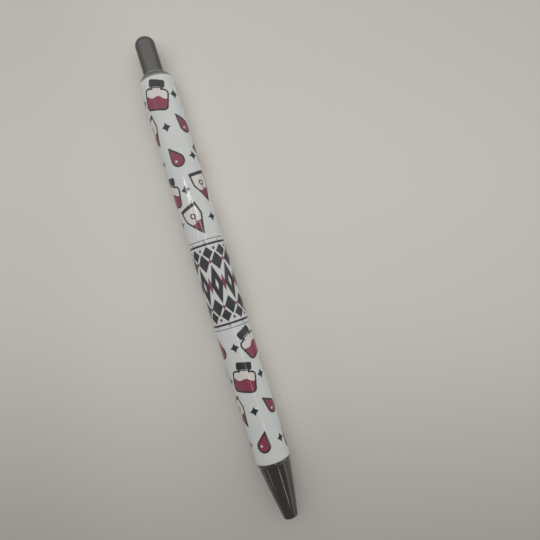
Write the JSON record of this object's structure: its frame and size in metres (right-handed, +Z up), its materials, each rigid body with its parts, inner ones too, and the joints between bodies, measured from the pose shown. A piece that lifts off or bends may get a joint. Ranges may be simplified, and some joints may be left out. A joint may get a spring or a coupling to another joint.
{
  "type": "retractable ballpoint pen",
  "caption": "Retractable metal pen: straight printed barrel under clear resin, gunmetal collar, push button and screw-on nose cone, with click mechanism, spring and refill inside.",
  "frame": {"origin": "on the surface the pen lies on, under the middle of its length", "axes": "+X along the pen towards the nose, +Z up, +Y to the left seen along +X"},
  "size_m": [0.142, 0.01, 0.01],
  "materials": {
    "satin_gunmetal": "satin gunmetal plating",
    "polished_gunmetal": "polished gunmetal plating",
    "printed_film": "white film with a black and red print",
    "clear_resin": "clear glossy resin",
    "brass": "plain turned brass",
    "white_acetal": "moulded acetal",
    "spring_steel": "bright drawn wire",
    "refill_steel": "nickel-plated steel",
    "black_plastic": "moulded",
    "black_ink": "viscous ink",
    "pale_grease": "clear grease",
    "ball_carbide": "polished carbide"
  },
  "bodies": {
    "barrel": {"barrel_tube": "brass", "printed_wrap": "printed_film", "clear_coat": "clear_resin", "top_collar": "polished_gunmetal", "cam_sleeve": "white_acetal", "thread_bushing": "brass"},
    "button": {"button_cap": "satin_gunmetal", "plunger": "white_acetal"},
    "refill": {"refill_tube": "refill_steel", "refill_rear_plug": "black_plastic", "ink_column": "black_ink", "ink_follower": "pale_grease", "refill_tip_holder": "brass", "writing_tip": "refill_steel"},
    "rotor": {"cam_rotor": "white_acetal"},
    "ball": {"writing_ball": "ball_carbide"},
    "spring": {"compression_spring": "spring_steel"},
    "nose": {"nose_cone": "polished_gunmetal"}
  },
  "joints": [
    {"name": "button_press", "type": "slide", "parent": "barrel", "child": "button", "axis": [1, 0, 0], "range_m": [0, 0.0065], "stiffness_N_per_m": 250, "springref_m": -0.008, "deforming": ["compression_spring"]},
    {"name": "refill_slide", "type": "slide", "parent": "barrel", "child": "refill", "axis": [1, 0, 0], "range_m": [0, 0.0065]},
    {"name": "rotor_turn", "type": "hinge", "parent": "refill", "child": "rotor", "pos_m": [-0.04, 0, 0.005], "axis": [1, 0, 0], "range_deg": [0, 22.5]},
    {"name": "nose_travel", "type": "slide", "parent": "barrel", "child": "spring", "axis": [1, 0, 0], "range_m": [0, 0.007]},
    {"name": "nose_turn", "type": "hinge", "parent": "spring", "child": "nose", "pos_m": [0.05, 0, 0.005], "axis": [1, 0, 0], "range_deg": [0, 2520]},
    {"name": "ball_roll", "type": "hinge", "parent": "refill", "child": "ball", "pos_m": [0.068, 0, 0.005], "axis": [0, 1, 0], "continuous": true}
  ],
  "couplings": [
    {"joint": "refill_slide", "follows": "button_press", "ratio": 1},
    {"joint": "rotor_turn", "follows": "button_press", "rad_per_m": 60.41},
    {"joint": "nose_turn", "follows": "nose_travel", "rad_per_m": 6283.2}
  ]
}
